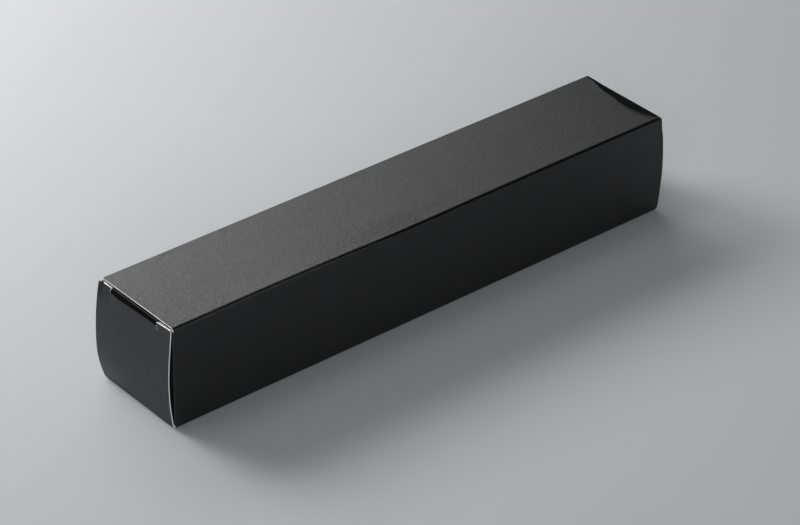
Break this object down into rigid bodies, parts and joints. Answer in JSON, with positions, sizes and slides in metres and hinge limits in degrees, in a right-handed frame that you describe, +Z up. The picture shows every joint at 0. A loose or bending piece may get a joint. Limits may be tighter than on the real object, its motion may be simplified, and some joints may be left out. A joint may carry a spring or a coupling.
{
  "type": "folding carton",
  "caption": "Long narrow folding carton of black board, glued along one seam, with a hinged closing panel, tuck flap and dust flaps at each end.",
  "frame": {"origin": "centre of the carton's underside, on the surface that it rests on, with both closing panels shut", "axes": "+X along the tube to the far end, whose closing panel is hinged at the top; -Y out of the front panel; +Z up"},
  "size_m": [0.198, 0.035, 0.035],
  "materials": {
    "board": "matte",
    "folded_edge": "matte",
    "glue": "satin"
  },
  "bodies": {
    "tube": {"bottom_panel": "board", "front_panel": "board", "top_panel": "board", "back_panel": "board", "glue_flap": "board", "glue_strip": "glue", "crease_bottom_front": "folded_edge", "crease_front_top": "folded_edge", "crease_top_back": "folded_edge", "crease_glue_flap": "folded_edge", "near_closure_crease": "folded_edge", "far_closure_crease": "folded_edge"},
    "near_closing_panel": {"near_closure": "board", "near_tuck_crease": "folded_edge"},
    "near_tuck": {"near_tuck_flap": "board"},
    "near_front_fold": {"near_front_dust_crease": "folded_edge"},
    "near_front_dust": {"near_front_dust_flap": "board"},
    "near_back_fold": {"near_back_dust_crease": "folded_edge"},
    "near_back_dust": {"near_back_dust_flap": "board"},
    "far_closing_panel": {"far_closure": "board", "far_tuck_crease": "folded_edge"},
    "far_tuck": {"far_tuck_flap": "board"},
    "far_front_fold": {"far_front_dust_crease": "folded_edge"},
    "far_front_dust": {"far_front_dust_flap": "board"},
    "far_back_fold": {"far_back_dust_crease": "folded_edge"},
    "far_back_dust": {"far_back_dust_flap": "board"}
  },
  "joints": [
    {"name": "near_closure_open", "type": "hinge", "parent": "tube", "child": "near_closing_panel", "pos_m": [-0.09705, 0, 0.00035], "axis": [0, -1, 0], "range_deg": [0, 78]},
    {"name": "near_tuck_unfold", "type": "hinge", "parent": "near_closing_panel", "child": "near_tuck", "pos_m": [-0.09755, 0, 0.03415], "axis": [0, -1, 0], "range_deg": [0, 16]},
    {"name": "near_front_dust_spring_out", "type": "hinge", "parent": "tube", "child": "near_front_fold", "pos_m": [-0.09635, -0.0171, 0.0175], "axis": [0, 0, 1], "range_deg": [0, 78]},
    {"name": "near_front_dust_push_in", "type": "hinge", "parent": "near_front_fold", "child": "near_front_dust", "pos_m": [-0.09635, -0.0171, 0.0175], "axis": [0, 0, 1], "range_deg": [-80, 0]},
    {"name": "near_back_dust_spring_out", "type": "hinge", "parent": "tube", "child": "near_back_fold", "pos_m": [-0.09635, 0.0171, 0.0175], "axis": [0, 0, -1], "range_deg": [0, 78]},
    {"name": "near_back_dust_push_in", "type": "hinge", "parent": "near_back_fold", "child": "near_back_dust", "pos_m": [-0.09635, 0.0171, 0.0175], "axis": [0, 0, -1], "range_deg": [-80, 0]},
    {"name": "far_closure_open", "type": "hinge", "parent": "tube", "child": "far_closing_panel", "pos_m": [0.09695, 0, 0.03465], "axis": [0, -1, 0], "range_deg": [0, 135]},
    {"name": "far_tuck_unfold", "type": "hinge", "parent": "far_closing_panel", "child": "far_tuck", "pos_m": [0.09745, 0, 0.00085], "axis": [0, -1, 0], "range_deg": [0, 28]},
    {"name": "far_front_dust_spring_out", "type": "hinge", "parent": "tube", "child": "far_front_fold", "pos_m": [0.09625, -0.0171, 0.0175], "axis": [0, 0, -1], "range_deg": [0, 95]},
    {"name": "far_front_dust_push_in", "type": "hinge", "parent": "far_front_fold", "child": "far_front_dust", "pos_m": [0.09625, -0.0171, 0.0175], "axis": [0, 0, -1], "range_deg": [-80, 0]},
    {"name": "far_back_dust_spring_out", "type": "hinge", "parent": "tube", "child": "far_back_fold", "pos_m": [0.09625, 0.0171, 0.0175], "axis": [0, 0, 1], "range_deg": [0, 95]},
    {"name": "far_back_dust_push_in", "type": "hinge", "parent": "far_back_fold", "child": "far_back_dust", "pos_m": [0.09625, 0.0171, 0.0175], "axis": [0, 0, 1], "range_deg": [-80, 0]}
  ],
  "couplings": [
    {"joint": "near_tuck_unfold", "follows": "near_closure_open", "ratio": 0.2},
    {"joint": "near_front_dust_spring_out", "follows": "near_closure_open", "ratio": 1},
    {"joint": "near_back_dust_spring_out", "follows": "near_closure_open", "ratio": 1},
    {"joint": "far_tuck_unfold", "follows": "far_closure_open", "ratio": 0.2},
    {"joint": "far_front_dust_spring_out", "follows": "far_closure_open", "ratio": 0.7},
    {"joint": "far_back_dust_spring_out", "follows": "far_closure_open", "ratio": 0.7}
  ]
}
